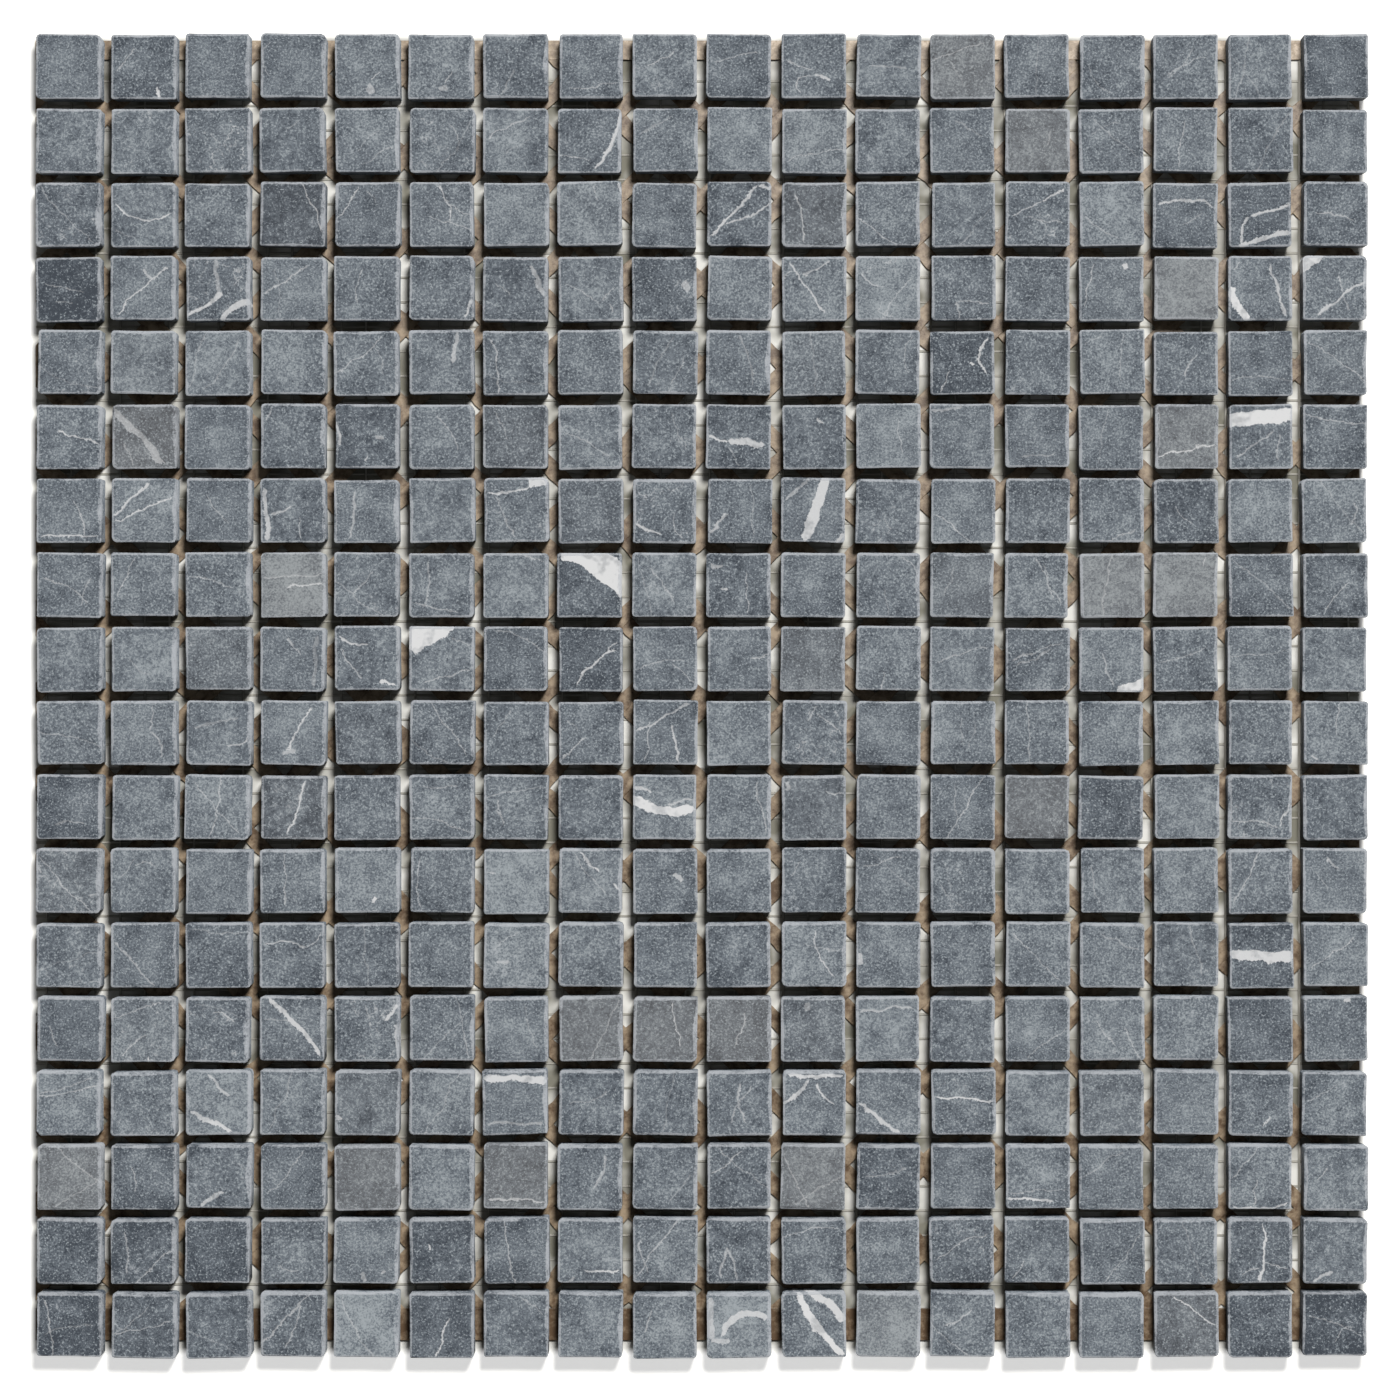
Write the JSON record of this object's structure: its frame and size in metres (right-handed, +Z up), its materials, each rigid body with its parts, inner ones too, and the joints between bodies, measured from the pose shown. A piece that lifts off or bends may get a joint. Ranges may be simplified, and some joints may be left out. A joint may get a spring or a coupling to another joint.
{
  "type": "mosaic tile sheet",
  "caption": "Square sheet of small tumbled stone tiles laid in a grid with open joints on a net backing with tan diagonal bands.",
  "frame": {"origin": "under the middle of the sheet, at the level of the floor that the net lies on", "axes": "+Z up, out of the faces of the stones; +Y towards the top of the sheet as it is looked at from above; +X to the right"},
  "size_m": [0.3045, 0.3018, 0.009],
  "materials": {
    "stone": "tumbled, matt, blue-grey marble with pale worn edges and white veins",
    "net": "off-white glass-fibre net",
    "bands": "tan dried adhesive in flat bands, satin"
  },
  "bodies": {
    "root": {"tile_row_01": "stone", "tile_row_02": "stone", "tile_row_03": "stone", "tile_row_04": "stone", "tile_row_05": "stone", "tile_row_06": "stone", "tile_row_07": "stone", "tile_row_08": "stone", "tile_row_09": "stone", "tile_row_10": "stone", "tile_row_11": "stone", "tile_row_12": "stone", "tile_row_13": "stone", "tile_row_14": "stone", "tile_row_15": "stone", "tile_row_16": "stone", "tile_row_17": "stone", "tile_row_18": "stone", "net_weft": "net", "net_warp": "net", "bands_lower": "bands", "bands_upper": "bands"}
  },
  "joints": []
}
